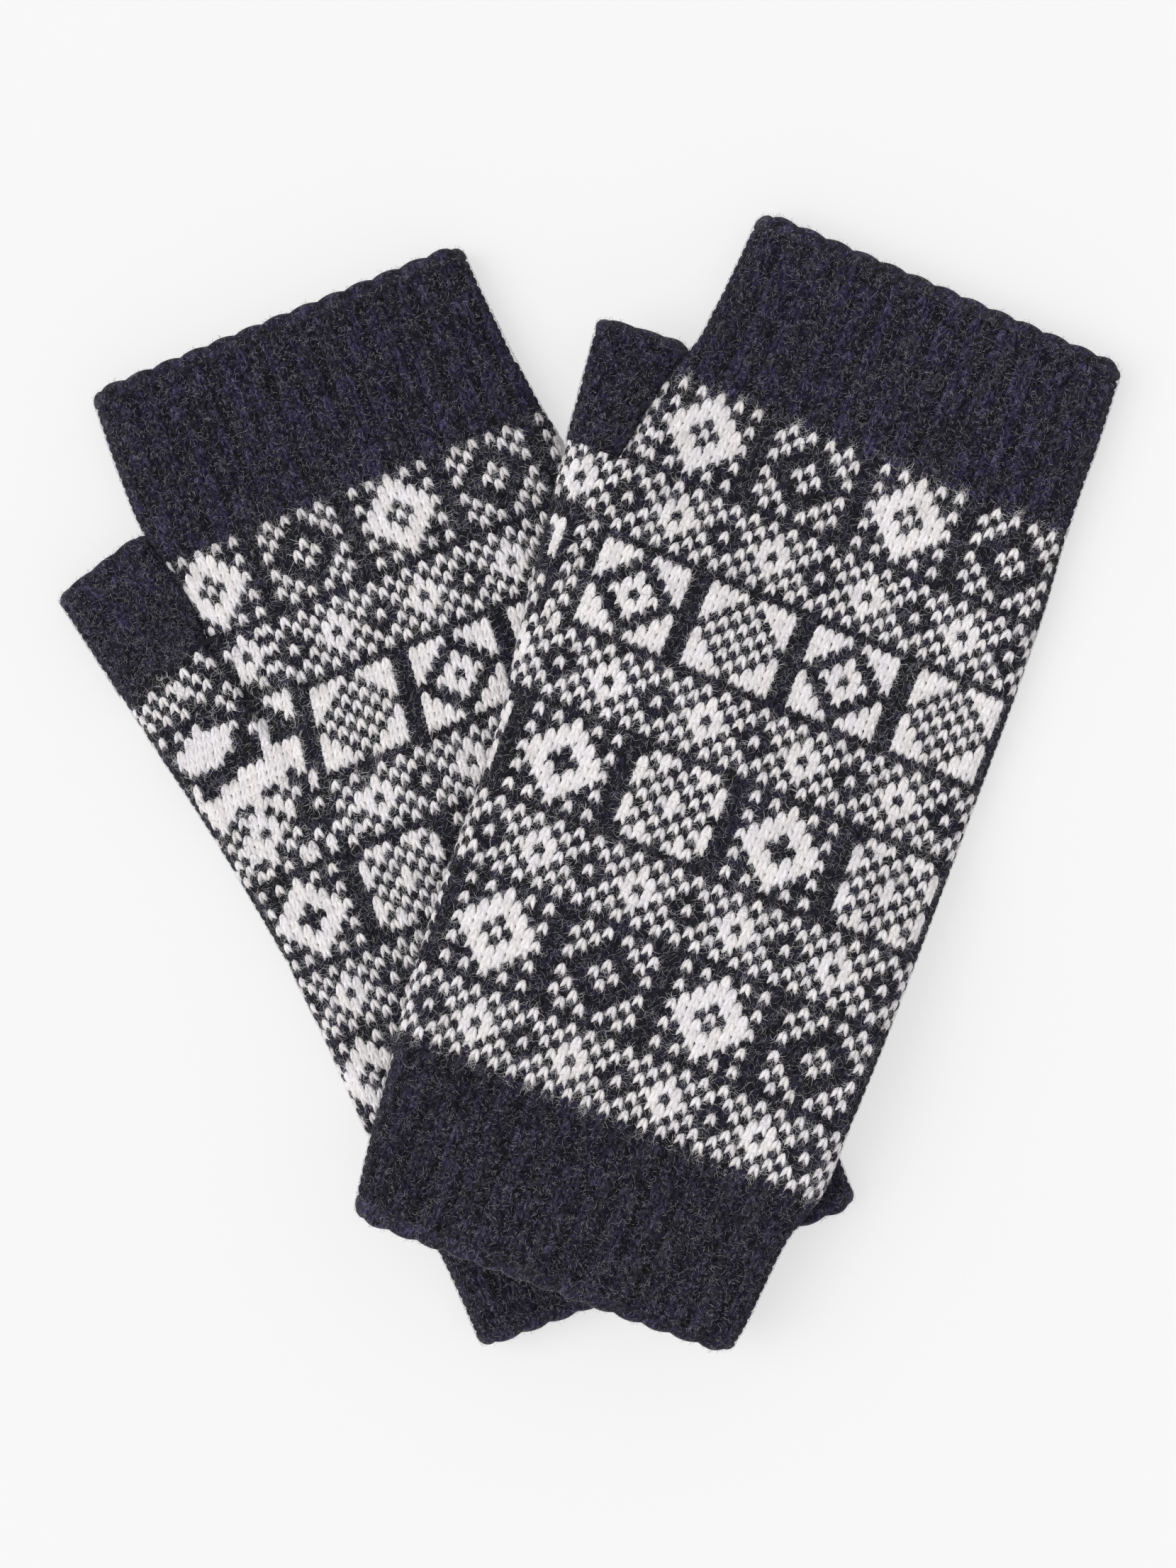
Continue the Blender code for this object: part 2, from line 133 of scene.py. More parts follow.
# The gloves' measures. hand is where the patterned part starts and ends along v, ends is where the mouths
# are, and slants is how much each of them slants. outer and inner are the hand's edges, gusset is the outer
# edge of the gusset, and middle is the pattern's middle line, each as points (v, u). stitch is a stitch's
# width, as points (v, width). The rows start at first_row and bulge towards the fingers by row_bulge.
GLOVES = {
    "right": {
        "hand": (-79.4, 79.0),
        "fold_middle": (1.25, 79.15),
        "ends": (-118.0, 118.2),
        "slants": (1.4, -0.7),
        "outer": [(-119, 45.6), (-110, 47), (-100, 47.5), (-88, 48.4), (-78, 51.2), (-60, 51.6), (-40, 51.7),
                  (-10, 51.5), (10, 51.2), (30, 50.7), (50, 49.8), (65, 48.7), (75, 47.5), (85, 46.8),
                  (100, 46.1), (118, 44.6)],
        "inner": [(-119, -41.7), (-108, -43.7), (-88, -46.5), (-78, -48), (-60, -50), (-45, -51), (-15, -52),
                  (0, -52), (30, -51), (60, -50), (70, -49), (80, -47), (86, -44.8), (95, -43.8),
                  (118, -42.5)],
        "gusset": [(-18, -52), (0, -54), (10, -56), (20, -57.5), (40, -60.5), (55, -62.5)],
        "thumb_root": ((-62.8, 54.8), (-50.6, 55.3)),
        "thumb_mouth": ((-66.5, 82.6), (-45.2, 85.0)),
        "thumb_bulge": 0.0,
        "thumb_hairs": 7000,
        "first_row": 76.2,
        "row_pitch": 2.1825,
        "row_bulge": 0.9,
        "stitch": [(-118, 2.1), (-70, 2.207), (-50, 2.276), (-10.5, 2.318), (29.5, 2.26), (48.5, 2.27),
                   (67.5, 2.209), (78, 2.19), (118, 2.1)],
        "middle": [(-80, 1.5), (-50, 1.6), (-10, 1.5), (30, 1.1), (67, 1.3), (79, 1.3), (118, 1.2)],
    },
    "left": {
        "hand": (-76.2, 73.0),
        "fold_middle": (1.095, 73.15),
        "ends": (-114.5, 114.3),
        "slants": (-0.8, 0.0),
        "outer": [(-115, 45), (-100, 45.3), (-76, 47.5), (-60, 49.5), (-30, 51), (0, 50.5), (30, 49.8),
                  (50, 49), (66, 48), (75, 46.5), (85, 45.4), (95, 44.5), (105, 43.8), (114, 43.5)],
        "inner": [(-115, -43.9), (-90, -44.9), (-76, -46.8), (-60, -49.7), (-50, -50.1), (-35, -50.7),
                  (-20, -51.6), (0, -48.4), (30, -44), (54, -41.2), (65, -42.2), (73, -44.2), (82, -45.7),
                  (95, -45.8), (114, -44.8)],
        "gusset": [(-20, -51.6), (-5, -53.7), (5, -55.2), (15, -56.9), (25, -58.8), (35, -60.9), (45, -62.8),
                   (52, -64)],
        "thumb_root": ((-63.9, 49.7), (-41.3, 53.6)),
        "thumb_mouth": ((-68.7, 75.2), (-45.4, 81.7)),
        "thumb_bulge": 2.0,
        "thumb_hairs": 11000,
        "first_row": 71.83,
        "row_pitch": 2.0833,
        "row_bulge": 0.0,
        "stitch": [(-114, 2.0), (-50, 2.05), (-11, 2.07), (7.5, 2.19), (26, 2.18), (45, 2.07), (63.5, 2.04),
                   (114, 2.0)],
        "middle": [(-114, -6), (-76, -8), (-50, -9.5), (-11, -8.4), (7.5, -6.9), (26, -4.3), (45, -2.4),
                   (63, -2.4), (114, -1.5)],
    },
}


def smooth_line(points):
    """A smooth function through points (v, value)."""
    at, value = np.array(points, float).T
    slope = np.gradient(value, at)

    def read(v):
        v = np.clip(v, at[0], at[-1])
        i = np.clip(np.searchsorted(at, v, side="right") - 1, 0, len(at) - 2)
        span = at[i + 1] - at[i]
        t = (v - at[i]) / span
        return (
            value[i] * (1 + 2 * t) * (1 - t) ** 2
            + slope[i] * span * t * (1 - t) ** 2
            + value[i + 1] * t * t * (3 - 2 * t)
            - slope[i + 1] * span * t * t * (1 - t)
        )

    return read


for data in GLOVES.values():
    for line in ("outer", "inner", "gusset", "middle", "stitch"):
        data[line] = smooth_line(data[line])


def rotated(u, v, angle):
    c, s = math.cos(angle), math.sin(angle)
    return u * c - v * s, u * s + v * c


def find_place(side):
    """A glove's turn and centre, from the fold of its finger band."""
    joint = JOINTS[side + "_finger_rib_fold"]
    turn = math.atan2(joint["axis"][1], joint["axis"][0])
    du, dv = rotated(*GLOVES[side]["fold_middle"], turn)
    return turn, joint["pos_m"][0] / MM - du, joint["pos_m"][1] / MM - dv


PLACES = {side: find_place(side) for side in SIDES}


def to_pair(side, u, v):
    turn, x0, y0 = PLACES[side]
    x, y = rotated(u, v, turn)
    return x + x0, y + y0


def held_up(beyond):
    t = np.clip(beyond / DRAPE_LENGTH, 0, 1)
    return 1 - t * t * (3 - 2 * t)


def lift(side, u, v):
    """How far a glove's underside lies above the table."""
    if side == "left":
        return np.zeros_like(u)
    x, y = to_pair("right", u, v)
    turn, x0, y0 = PLACES["left"]
    across, length = rotated(x - x0, y - y0, -turn)
    return LIFT * held_up(across - LOWER_SIDE) * held_up(-across - LOWER_SIDE) * held_up(-length - LOWER_END)


class Tube:
    """A flattened tube. A point on it is a, the way round from its middle line, t, the way along, and d, the
    height over its skin. A mouth is (t, +1 or -1, slant), where slant is how far its right end lies ahead of
    its middle, and unit is one millimetre in the units of t."""

    def __init__(self, side, left, right, middle, height, crown=CROWN, mouths=(), unit=1.0, scallop=SCALLOP,
                 corner=CORNER_DROP, crease=None):
        self.side, self.left, self.right, self.middle, self.crease = side, left, right, middle, crease
        self.height, self.crown, self.mouths, self.unit = height, crown, mouths, unit
        self.scallop, self.corner = scallop, corner
        self.quarter = math.pi * height / 4

    def spans(self, t):
        """The flat width on either side of the middle line."""
        (lu, lv), (ru, rv), (mu, mv) = self.left(t), self.right(t), self.middle(t)
        half = self.height / 2
        return np.hypot(mu - lu, mv - lv) - half, np.hypot(ru - mu, rv - mv) - half

    def edged(self, a, t):
        """t with the slant, the waves and the round corners of a mouth, which die away from it."""
        for end, way, slant in self.mouths:
            flat_left, flat_right = self.spans(np.full_like(a, end))
            flat = np.where(a < 0, flat_left, flat_right)
            fold = np.clip((np.abs(a) - flat) / self.quarter, 0, 1)
            wave = np.abs(np.mod(a / RIB_PITCH + 1 / 3, 1) - 0.5) * 2
            edge = self.corner * fold**2.5 + self.scallop * wave**2
            near = np.clip(1 - (end - t) * way / self.unit / EASE_LENGTH, 0, 1)
            t = t + self.unit * (slant * np.clip(a / flat, -1, 1) - way * edge) * near**2
        return t

    def place(self, a, t, d, back=False):
        """Points of the pair at a, t and d, on the tube's upper face, or on its underside if back."""
        if self.mouths:
            t = self.edged(*np.broadcast_arrays(a, t))
        (lu, lv), (ru, rv), (mu, mv) = self.left(t), self.right(t), self.middle(t)
        width = np.hypot(ru - lu, rv - lv)
        eu, ev = (ru - lu) / width, (rv - lv) / width
        half = self.height / 2
        flat_left, flat_right = self.spans(t)
        flat = np.where(a < 0, flat_left, flat_right)
        along = np.abs(a)
        angle = np.clip((along - flat) / half, 0, math.pi)
        past = np.maximum(along - flat - math.pi * half, 0)
        x = np.minimum(along, flat) + (half + d) * np.sin(angle) - past
        z = (half + d) * np.cos(angle)
        rise = self.crown * np.clip(1 - (x / (flat + half)) ** 2, 0, 1)
        x = np.copysign(x, a)
        u, v = mu + x * eu, mv + x * ev
        if self.crease:
            rise = rise - self.crease(u, v)
        z = np.where(z > 0, z + rise, z) if not back else -z
        px, py = to_pair(self.side, u, v)
        return np.stack([px, py, half + z + lift(self.side, u, v)], axis=-1)


def line_between(start, end, bulge=0.0):
    """A line in a glove's frame, read by its share, that stands out to the right by bulge at its middle."""
    return lambda t: (start[0] + (end[0] - start[0]) * t + 4 * bulge * np.clip(t * (1 - t), 0, 1),
                      start[1] + (end[1] - start[1]) * t)


def crease_line(v):
    """Where the left glove's fabric is creased below its thumb, as it folds towards the palm."""
    return -41.4 + 0.26 * (54 - v)


def thumb_crease(u, v):
    """How deep that crease is."""
    fade = np.clip((v - 16) / 16, 0, 1) * np.clip((58 - v) / 4, 0, 1)
    return CREASE_DEPTH * fade * np.exp(-(((u - crease_line(v)) / CREASE_WIDTH) ** 2))


def make_tubes(side):
    data = GLOVES[side]
    crotch = data["thumb_root"][1][1]

    def inner(v):
        """The hand's edge on the thumb's side, out to the gusset's edge below the thumb."""
        beside_thumb = (v > GUSSET_START) & (v < crotch)
        return np.where(beside_thumb, data["gusset"](v), data["inner"](v)), v

    def outer(v):
        return data["outer"](v), v

    def middle(v):
        return data["middle"](v), v

    root, mouth = data["thumb_root"], data["thumb_mouth"]
    wrist_end, finger_end = data["ends"]
    thumb_unit = 1 / math.dist(root[1], mouth[1])
    wrist_slant, finger_slant = data["slants"]
    rib_mouths = ((finger_end, 1, finger_slant), (wrist_end, -1, wrist_slant))
    thumb_left = line_between(root[0], mouth[0])
    thumb_right = line_between(root[1], mouth[1], data["thumb_bulge"])

    def thumb_middle(t):
        (lu, lv), (ru, rv) = thumb_left(t), thumb_right(t)
        return (lu + ru) / 2, (lv + rv) / 2

    crease = thumb_crease if side == "left" else None
    return {
        "hand": Tube(side, inner, outer, middle, HAND_HEIGHT, crease=crease),
        "rib": Tube(side, lambda v: (data["inner"](v), v), outer, middle, RIB_HEIGHT, mouths=rib_mouths),
        "thumb": Tube(side, thumb_left, thumb_right, thumb_middle, THUMB_HEIGHT, CROWN / 2, ((1, 1, 0),),
                      thumb_unit, SCALLOP / 2, THUMB_CORNER_DROP),
    }


def build_mesh(name, points, loops, starts, materials, slots=None, marks=None, uv=None):
    """A piece from arrays. points is in millimetres, and marks are values at points that the wool reads."""
    mesh = bpy.data.meshes.new(name)
    mesh.vertices.add(len(points))
    mesh.vertices.foreach_set("co", (points * MM).astype(np.float32).ravel())
    mesh.loops.add(len(loops))
    mesh.loops.foreach_set("vertex_index", loops.astype(np.int32))
    mesh.polygons.add(len(starts))
    mesh.polygons.foreach_set("loop_start", starts.astype(np.int32))
    mesh.polygons.foreach_set("use_smooth", np.ones(len(starts), bool))
    if slots is not None:
        mesh.polygons.foreach_set("material_index", slots.astype(np.int32))
    for mark, values in (marks or {}).items():
        mesh.attributes.new(mark, "FLOAT", "POINT").data.foreach_set("value", values.astype(np.float32))
    if uv is not None:
        mesh.uv_layers.new(name="OFBake").data.foreach_set("uv", uv.astype(np.float32).ravel())
    mesh.update(calc_edges=True)
    for material in materials:
        mesh.materials.append(material)
    obj = bpy.data.objects.new(name, mesh)
    bpy.context.collection.objects.link(obj)
    return obj


LEG_PROFILE_STEPS = 3
BED_SIDES = 8
BED_MIDDLE = -0.42


def leg_shape():
    """One leg of a stitch, from its tip at the top to its foot, as points, faces and texture places. A point
    is across and along, in stitches and rows, and its height in millimetres."""
    along = np.array([0, 0.14, 0.36, 0.60, 0.82, 1])
    half_width = np.array([0, 0.20, 0.275, 0.265, 0.19, 0])
    crest = np.array([0.30, 0.76, 0.90, 0.80, 0.50, 0.05])
    across = 0.06 + 0.36 * along
    length = 0.70 - 1.42 * along
    angles = np.linspace(-math.pi / 2, math.pi / 2, LEG_PROFILE_STEPS + 1)
    points, texture = [], []
    for i in range(len(along)):
        ring = [0.0] if i in (0, len(along) - 1) else angles
        for angle in ring:
            aside = half_width[i] * math.sin(angle)
            points.append((across[i] + aside, length[i], crest[i] * math.cos(angle)))
            texture.append((0.5 + angle / math.pi * 0.9, along[i]))
    last = len(points) - 1
    ring = LEG_PROFILE_STEPS + 1
    steps = range(LEG_PROFILE_STEPS)
    faces = [(0, 1 + j, 2 + j) for j in steps]
    for i in range(len(along) - 3):
        low = 1 + i * ring
        faces += [(low + j, low + ring + j, low + ring + j + 1, low + j + 1) for j in steps]
    low = 1 + (len(along) - 3) * ring
    faces += [(low + j, last, low + j + 1) for j in steps]
    return np.array(points), faces, np.array(texture)


def bed_shape():
    """The felted wool between the legs of a stitch and the tip of the next."""
    points, texture = [(0, BED_MIDDLE, 0.66)], [(0.5, 0.5)]
    for i in range(BED_SIDES):
        angle = 2 * math.pi * i / BED_SIDES
        points.append((0.56 * math.cos(angle), BED_MIDDLE + 0.62 * math.sin(angle), 0.40))
        texture.append((0.5 + 0.45 * math.cos(angle), 0.5 + 0.45 * math.sin(angle)))
    faces = [(0, 1 + i, 1 + (i + 1) % BED_SIDES) for i in range(BED_SIDES)]
    return np.array(points), faces, np.array(texture)


LEG, BED = leg_shape(), bed_shape()


def stamp(tube, shape, stitches, chosen, mirror, rng, back):
    """Copies of a shape at the chosen stitches: points, loops, face sizes, and each face's texture place."""
    template, faces, texture = shape
    a, t, width, row, depth = (stitches[key][chosen][:, None] for key in ("a", "t", "width", "row", "depth"))
    count = len(a)
    jitter = rng.normal(0, 1, (count, 4))
    x = template[None, :, 0] * (1 + 0.05 * jitter[:, :1]) * (-1 if mirror else 1) + 0.02 * jitter[:, 1:2]
    y = template[None, :, 1] * (1 + 0.04 * jitter[:, 2:3]) + 0.03 * jitter[:, 3:4]
    z = template[None, :, 2] + depth - SKIN_DEPTH
    points = tube.place(a + x * width, t + y * row, z, back)
    if mirror != back:
        faces = [face[::-1] for face in faces]
    flat = np.concatenate([np.array(face) for face in faces])
    loops = flat[None] + (np.arange(count) * len(template))[:, None]
    sizes = np.tile([len(face) for face in faces], count)
    corners = np.broadcast_to(texture[flat], (count, len(flat), 2))
    return points.reshape(-1, 3), loops.ravel(), sizes, corners


def knit(name, tube, stitches, bedded, materials, rng, back=False):
    """A piece of knitting: two legs for each stitch, and a bed of felted wool under those in bedded."""
    everything = np.ones(len(stitches["a"]), bool)
    parts = []
    for shape, chosen, mirror in ((LEG, everything, True), (LEG, everything, False), (BED, bedded, False)):
        points, loops, sizes, corners = stamp(tube, shape, stitches, chosen, mirror, rng, back)
        parts.append((points, loops, sizes, corners, part_of(stitches, chosen)))
    shapes = sum(len(part[4]["a"]) for part in parts)
    cells = math.ceil(math.sqrt(shapes))
    points, loops, sizes, slots, tones, tints, uvs = [], [], [], [], [], [], []
    first_point = first_cell = 0
    for part_points, part_loops, part_sizes, corners, own in parts:
        count = len(own["a"])
        if count == 0:
            continue
        cell = first_cell + np.arange(count)
        corner = np.stack([cell % cells, cell // cells], -1)[:, None]
        uvs.append(((corner + 0.08 + 0.84 * corners) / cells).reshape(-1, 2))
        points.append(part_points)
        loops.append(part_loops + first_point)
        sizes.append(part_sizes)
        slots.append(np.repeat(own["white"].astype(int), len(part_sizes) // count))
        tones.append(np.repeat(own["tone"] * 0.6 + rng.random(count) * 0.4, len(part_points) // count))
        tints.append(np.repeat(own["tint"], len(part_points) // count))
        first_point += len(part_points)
        first_cell += count
    sizes = np.concatenate(sizes)
    starts = np.concatenate([[0], np.cumsum(sizes)[:-1]])
    marks = {"tone": np.concatenate(tones), "tint": np.concatenate(tints)}
    return build_mesh(name, np.concatenate(points), np.concatenate(loops), starts, materials,
                      np.concatenate(slots), marks, np.concatenate(uvs))


def spans_at(tube, t):
    return (float(span[0]) for span in tube.spans(np.array([t])))


def wall(name, tube, profile, materials, steps):
    """A closed ring of wall round a tube. profile is its section's outline as (t, height over the skin)."""
    rings = []
    for t, d in profile:
        flat_left, flat_right = spans_at(tube, t)
        front = np.linspace(-flat_left - tube.quarter, flat_right + tube.quarter, steps)
        under = front[::-1][1:-1]
        top = tube.place(front, np.full(len(front), t), np.full(len(front), d))
        bottom = tube.place(under, np.full(len(under), t), np.full(len(under), d), back=True)
        rings.append(np.concatenate([top, bottom]))
    around, count = len(rings[0]), len(rings)
    i = np.arange(around)
    j = (i + 1) % around
    faces = []
    for ring in range(count):
        low, high = ring * around, (ring + 1) % count * around
        faces.append(np.stack([low + i, high + i, high + j, low + j], -1))
    loops = np.concatenate(faces).ravel()
    uv = np.stack([(loops % around + 0.5) / (around + 1), (loops // around + 0.5) / count], -1)
    rng = np.random.default_rng(around + count)
    marks = {"tone": rng.random(count * around), "tint": rng.random(count * around)}
    starts = np.arange(count * around) * 4
    return build_mesh(name, np.concatenate(rings), loops, starts, materials, marks=marks, uv=uv)


def lining(name, tube, start, end, rings, steps=96):
    """The closed inner layer of a tube, which the stitches sit on."""
    ts = np.linspace(start, end, rings)
    outside = [(t, -SKIN_DEPTH) for t in ts]
    inside = [(t, -SKIN_DEPTH - LINING) for t in ts[::-1]]
    return wall(name, tube, outside + inside, [lining_wool], steps)


def rim(name, tube, end, way, steps=220):
    """The bound-off edge round a mouth."""
    outline = [(end + way * tube.unit * back_from, d) for back_from, d in RIM_SHAPE]
    return wall(name, tube, outline[::way], [edge_navy], steps)


HAIR_POINTS = 4
HAIR_WIDTH = 0.034
HAIR_RISE = (0.1, 0.6)
HAIR_ROOT = -0.2
HAIRS_PAST_FOLD = 1.0
HAND_HAIR_LENGTH = (0.9, 2.6)
PLAIN_HAIR_LENGTH = (0.6, 1.5)


def hairs(name, tube, a, t, colour, rng, length):
    """Fine curled hairs over a tube, each from its root at (a, t). colour picks each hair's material, and
    length is the shortest and the longest."""
    count = len(a)
    heading = rng.uniform(0, 2 * math.pi, count)
    curl = rng.normal(0, 1.0, count)
    total = rng.uniform(*length, count)
    high = rng.uniform(*HAIR_RISE, count)
    share = np.linspace(0, 1, HAIR_POINTS)
    angle = heading[:, None] + curl[:, None] * share * 2
    step = total[:, None] / (HAIR_POINTS - 1)
    da = np.cumsum(np.cos(angle) * step, axis=1) - np.cos(angle[:, :1]) * step
    dt = np.cumsum(np.sin(angle) * step, axis=1) - np.sin(angle[:, :1]) * step
    d = HAIR_ROOT + high[:, None] * np.sin(math.pi * (0.1 + 0.75 * share))[None]
    side_a, side_t = -np.sin(angle[:, :-1]) * HAIR_WIDTH / 2, np.cos(angle[:, :-1]) * HAIR_WIDTH / 2
    lengthwise = t[:, None] + dt * tube.unit
    first = tube.place(a[:, None] + da[:, :-1] + side_a, lengthwise[:, :-1] + side_t * tube.unit, d[:, :-1])
    second = tube.place(a[:, None] + da[:, :-1] - side_a, lengthwise[:, :-1] - side_t * tube.unit, d[:, :-1])
    tip = tube.place(a[:, None] + da[:, -1:], lengthwise[:, -1:], d[:, -1:])
    points = np.concatenate([np.stack([first, second], axis=2).reshape(count, -1, 3), tip], axis=1)
    corners = np.array([0, 1, 3, 2, 2, 3, 5, 4, 4, 5, 6])
    loops = (np.arange(count)[:, None] * points.shape[1] + corners).ravel()
    starts = (np.arange(count)[:, None] * len(corners) + np.array([0, 4, 8])).ravel()
    return build_mesh(name, points.reshape(-1, 3), loops, starts, HAIR, np.repeat(colour, 3))


# The wool.


def add_node(tree, kind, **settings):
    node = tree.nodes.new(kind)
    for key, value in settings.items():
        if key in node.inputs:
            node.inputs[key].default_value = value
        else:
            setattr(node, key, value)
    return node


def ramp_node(tree, stops):
    node = tree.nodes.new("ShaderNodeValToRGB")
    elements = node.color_ramp.elements
    while len(elements) < len(stops):
        elements.new(0.5)
    for element, (position, colour) in zip(elements, stops):
        element.position = position
        element.color = (*colour, 1)
    return node


def multiply_add(tree, value, factor, added):
    node = add_node(tree, "ShaderNodeMath", operation="MULTIPLY_ADD")
    node.inputs[1].default_value = factor
    tree.links.new(value, node.inputs[0])
    tree.links.new(added, node.inputs[2])
    return node.outputs[0]


def wool(name, stops, tints, sheen, bump=0.35, coarse=420, fine=2600):
    """Brushed wool. Its colour drifts along a ramp with a coarse and a fine mottle and each stitch's tone,
    which is random and, in the ribs, lower in the recessed purl columns as painted shade, and is tinted in
    patches."""
    material = bpy.data.materials.new(name)
    material.use_nodes = True
    tree = material.node_tree
    shader = tree.nodes["Principled BSDF"]
    shader.inputs["Roughness"].default_value = 0.95
    shader.inputs["Specular IOR Level"].default_value = 0.1
    shader.inputs["Sheen Weight"].default_value = sheen
    shader.inputs["Sheen Roughness"].default_value = 0.6
    where = add_node(tree, "ShaderNodeTexCoord")
    mottle = add_node(tree, "ShaderNodeTexNoise", Scale=coarse, Detail=3.0, Roughness=0.6)
    grain = add_node(tree, "ShaderNodeTexNoise", Scale=fine, Detail=2.0, Roughness=0.7)
    tone = add_node(tree, "ShaderNodeAttribute", attribute_name="tone")
    for noise in (mottle, grain):
        tree.links.new(where.outputs["Object"], noise.inputs["Vector"])
    toned = multiply_add(tree, tone.outputs["Fac"], TONE_SHARE, mottle.outputs["Fac"])
    total = multiply_add(tree, grain.outputs["Fac"], GRAIN_SHARE, toned)
    scaled = add_node(tree, "ShaderNodeMapRange")
    scaled.inputs["From Min"].default_value = MOTTLE_RANGE[0]
    scaled.inputs["From Max"].default_value = MOTTLE_RANGE[1]
    tree.links.new(total, scaled.inputs["Value"])
    ramp = ramp_node(tree, stops)
    tree.links.new(scaled.outputs["Result"], ramp.inputs["Fac"])
    drift = add_node(tree, "ShaderNodeTexNoise", Scale=TINT_SCALE, Detail=2.0, Roughness=0.6)
    tree.links.new(where.outputs["Object"], drift.inputs["Vector"])
    own_tint = add_node(tree, "ShaderNodeAttribute", attribute_name="tint")
    mixed = multiply_add(tree, own_tint.outputs["Fac"], TINT_SHARE, drift.outputs["Fac"])
    tint = ramp_node(tree, tints)
    tree.links.new(mixed, tint.inputs["Fac"])
    tinted = add_node(tree, "ShaderNodeMixRGB", blend_type="MULTIPLY")
    tinted.inputs["Fac"].default_value = 1
    tree.links.new(ramp.outputs["Color"], tinted.inputs["Color1"])
    tree.links.new(tint.outputs["Color"], tinted.inputs["Color2"])
    tree.links.new(tinted.outputs["Color"], shader.inputs["Base Color"])
    bumps = add_node(tree, "ShaderNodeBump", Strength=bump, Distance=0.0003)
    tree.links.new(grain.outputs["Fac"], bumps.inputs["Height"])
    tree.links.new(bumps.outputs["Normal"], shader.inputs["Normal"])
    return material


def hair_material(name, colour):
    material = bpy.data.materials.new(name)
    material.use_nodes = True
    shader = material.node_tree.nodes["Principled BSDF"]
    shader.inputs["Base Color"].default_value = (*colour, 1)
    shader.inputs["Roughness"].default_value = 0.9
    shader.inputs["Specular IOR Level"].default_value = 0.2
    return material


TONE_SHARE = 0.5
GRAIN_SHARE = 0.6
MOTTLE_RANGE = (0.65, 1.45)
TINT_SCALE = 230
TINT_SHARE = 0.4
NAVY_STOPS = [(0.0, (0.006, 0.0062, 0.009)), (0.4, (0.012, 0.012, 0.019)), (0.7, (0.024, 0.0225, 0.040)),
              (1.0, (0.044, 0.042, 0.070))]
NAVY_TINTS = [(0.60, (1.0, 1.0, 0.84)), (0.80, (0.98, 0.93, 1.08))]
WHITE_STOPS = [(0.0, (0.66, 0.635, 0.645)), (0.5, (0.85, 0.825, 0.835)), (1.0, (0.94, 0.925, 0.93))]
WHITE_TINTS = [(0.55, (1.0, 0.985, 0.97)), (0.85, (0.985, 0.98, 1.0))]
RIB_STOPS = [(0.0, (0.0015, 0.0015, 0.003)), (0.36, (0.0065, 0.0062, 0.0130)), (0.68, (0.027, 0.0245, 0.056)),
             (1.0, (0.078, 0.072, 0.140))]
RIB_TINTS = [(0.62, (0.86, 0.88, 0.58)), (0.78, (1.04, 0.97, 1.08))]
CUFF_TINTS = [(0.60, (0.82, 0.84, 0.52)), (0.80, (0.98, 0.94, 0.86))]
LINING_STOPS = [(0.0, (0.005, 0.005, 0.008)), (1.0, (0.018, 0.018, 0.028))]

navy = wool("wool_navy", NAVY_STOPS, NAVY_TINTS, sheen=0.08)
white_wool = wool("wool_white", WHITE_STOPS, WHITE_TINTS, sheen=0.08)
rib_navy = wool("wool_rib", RIB_STOPS, RIB_TINTS, sheen=0.04, coarse=800)
cuff_navy = wool("wool_cuff", RIB_STOPS, CUFF_TINTS, sheen=0.04, coarse=800)
edge_navy = wool("wool_edge", RIB_STOPS, RIB_TINTS, sheen=0.15, bump=0.8, fine=1500)
lining_wool = wool("wool_lining", LINING_STOPS, NAVY_TINTS, sheen=0.05, bump=0.6, fine=1200)
DARK_HAIR, BLUE_HAIR, MARL_HAIR, GREY_HAIR, WHITE_HAIR = range(5)
HAIR = [hair_material("hair_dark", (0.008, 0.008, 0.010)), hair_material("hair_blue", (0.050, 0.045, 0.100)),
        hair_material("hair_marl", (0.15, 0.145, 0.18)), hair_material("hair_grey", (0.40, 0.39, 0.41)),
        hair_material("hair_white", (0.84, 0.82, 0.815))]
GREY_SHARE = 0.22
HAND_HAIR_PARTS = 3
HAND_HAIRS = 108000
RIB_HAIRS = 30000
PLAIN_FUZZ_SHARES = (0.44, 0.22, 0.22, 0.12)


# The knitting. White stitches stand out a little, and those of an underside, purl columns and the ribs' first
# rows lie deeper.
WHITE_RISE = 0.06
UNDER_DEPTH = -0.16
PURL_DEPTH = -0.5
PLAIN_DEPTH = -0.05
JOIN_DEPTH = -0.18
PURL_EVERY = 3
THUMB_PITCH = 2.0
# How far the stitches of the upper face and of the underside reach past the middle of a fold, in stitches.
REACH = {"upper": 0.55, "under": -0.35}
THUMB_REACH = {"upper": 0.45, "under": -0.35}
# A tint lasts this many rows of a column.
PATCH_ROWS = 3.5


def row_height(side, row):
    """The v of a row's middle, counted from the finger end of the pattern."""
    data = GLOVES[side]
    bulge = data["row_bulge"] * np.clip(1 - ((row - 35.5) / 31.5) ** 2, 0, 1)
    return data["first_row"] - data["row_pitch"] * row + bulge


def is_white(column, row):
    """Whether the chart has a white stitch at this column, counted from the middle of the glove, and row."""
    out = np.zeros(len(column), bool)
    for r in np.unique(row):
        if 0 <= r < len(CHART):
            line = CHART[int(r)]
            shift = LATTICE_SHIFT if len(line) == len(LATTICE[0]) else 0
            here = row == r
            places = (np.round(column[here] + CHART_MIDDLE).astype(int) - shift) % len(line)
            out[here] = np.array([line[i] == "o" for i in places])
    return out


# Where the left glove's increases pull the pattern, and the wider stitches there.
PULL_EDGE = -29
PULL_WIDTH = 31
PULL_START = -0.5
WIDE_EDGE = -19.2
WIDE_STITCH = 2.66


